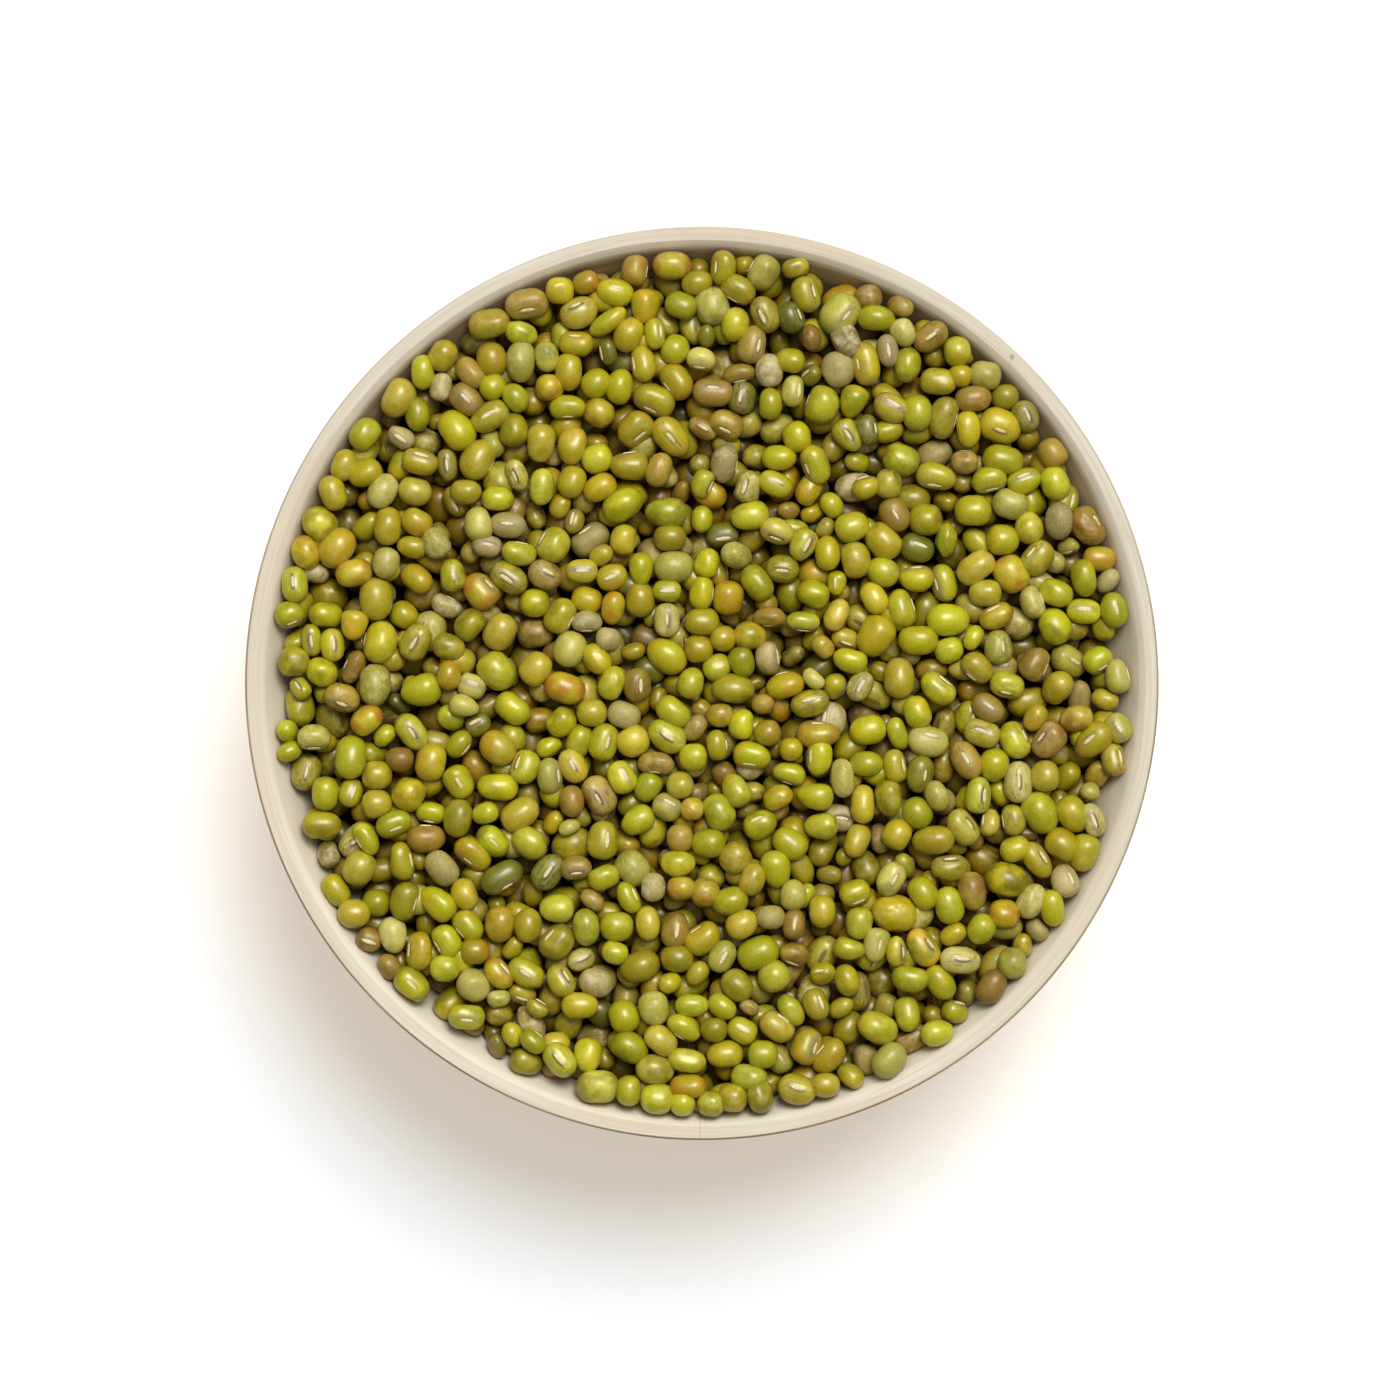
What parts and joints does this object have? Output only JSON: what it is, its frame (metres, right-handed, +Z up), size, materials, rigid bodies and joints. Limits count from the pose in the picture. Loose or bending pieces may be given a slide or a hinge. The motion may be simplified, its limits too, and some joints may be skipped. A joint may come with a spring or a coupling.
{
  "type": "bowl of mung beans",
  "caption": "Round pale wooden bowl with a flat rim and a foot ring, filled almost to the rim with a heap of dried green mung beans.",
  "frame": {"origin": "on the surface that the bowl stands on, below the centre of the bowl", "axes": "+Z up along the bowl's axis, +Y towards the top edge of the picture, +X towards its right edge"},
  "size_m": [0.12, 0.12, 0.0431],
  "materials": {
    "wood": "matt, pale limed wood with fine lines that run round the bowl",
    "bean_skin": "satin seed coat, yellow-green to olive, some brown or dusty"
  },
  "bodies": {
    "root": {"bowl": "wood", "beans": "bean_skin"}
  },
  "joints": []
}
